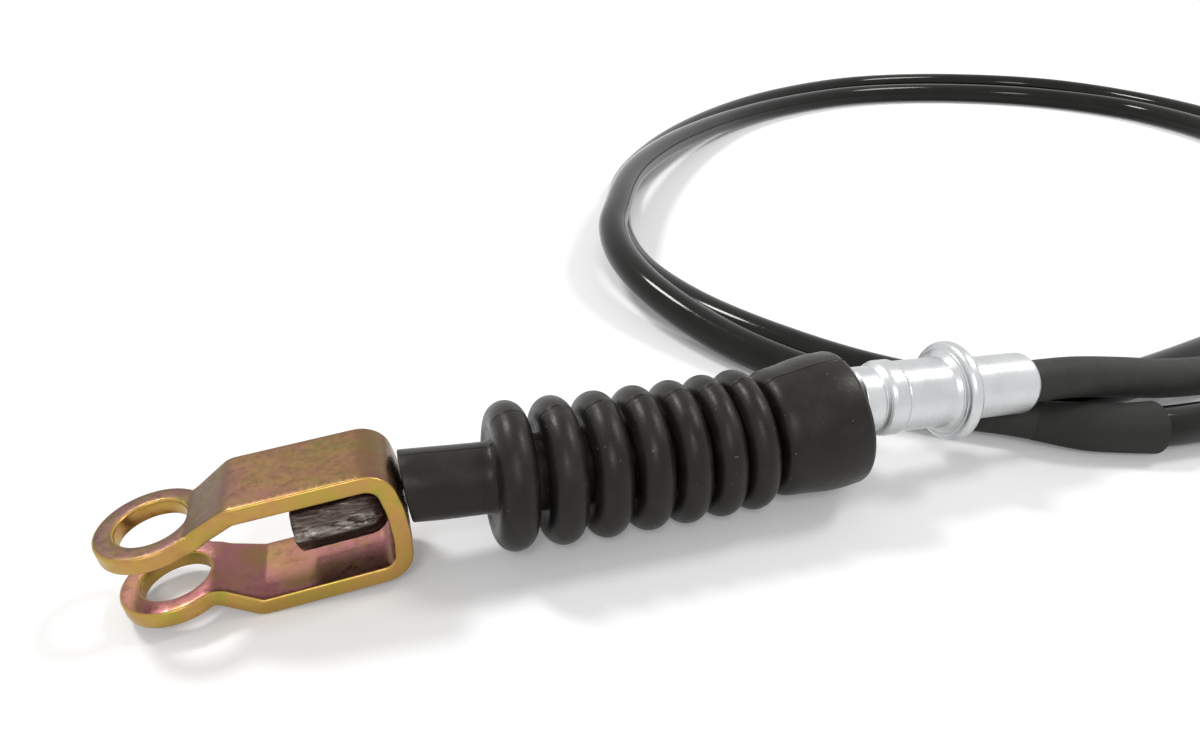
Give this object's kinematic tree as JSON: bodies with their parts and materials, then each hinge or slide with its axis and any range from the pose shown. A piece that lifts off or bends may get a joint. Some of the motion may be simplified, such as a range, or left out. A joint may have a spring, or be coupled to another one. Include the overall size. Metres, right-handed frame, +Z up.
{
  "type": "throttle cable",
  "caption": "Sheathed pull cable with a folded clevis, a ringed rubber boot and a flanged ferrule at one end, lying in loose turns.",
  "frame": {"origin": "middle of the near end, from the clevis eyes to the front ferrule's rear, on the surface that it lies on", "axes": "+X along the near end from the clevis to the front ferrule, +Y to the side where the casing's turns lie, +Z up"},
  "size_m": [0.3374, 0.2562, 0.0211],
  "materials": {
    "yellow_zinc": "yellow zinc plated, slightly worn",
    "dark_steel": "crimped, dull",
    "wire_steel": "stranded",
    "bright_zinc": "turned, bright zinc plated",
    "black_rubber": "fine grained, matte",
    "black_casing": "glossy with a matte end",
    "matte_sleeve": "matte",
    "white_liner": "smooth"
  },
  "bodies": {
    "casing": {"dust_boot": "black_rubber", "front_ferrule": "bright_zinc", "wiper_seal": "black_rubber", "front_liner": "white_liner", "conduit": "black_casing", "conduit_sleeve": "matte_sleeve", "rear_ferrule": "bright_zinc", "rear_liner": "white_liner", "inner_nut": "bright_zinc", "inner_lock_washer": "bright_zinc", "outer_lock_washer": "bright_zinc", "outer_nut": "bright_zinc", "rear_seal": "black_rubber"},
    "front_wire": {"inner_wire": "wire_steel", "wire_terminal": "dark_steel"},
    "clevis_body": {"clevis": "yellow_zinc"},
    "rear_wire_body": {"rear_wire": "wire_steel", "rear_terminal": "dark_steel"}
  },
  "joints": [
    {"name": "wire_pull", "type": "slide", "parent": "casing", "child": "front_wire", "axis": [-1, 0, 0], "range_m": [-0.005, 0.02], "deforming": ["dust_boot", "inner_wire"]},
    {"name": "clevis_swivel", "type": "hinge", "parent": "front_wire", "child": "clevis_body", "pos_m": [-0.05849, 0, 0.0075], "axis": [0.9954, 0, 0.0958], "continuous": true},
    {"name": "rear_wire_pull", "type": "slide", "parent": "casing", "child": "rear_wire_body", "axis": [-1, 0, 0], "range_m": [-0.005, 0.02]}
  ],
  "couplings": [
    {"joint": "rear_wire_pull", "follows": "wire_pull", "ratio": 1}
  ]
}
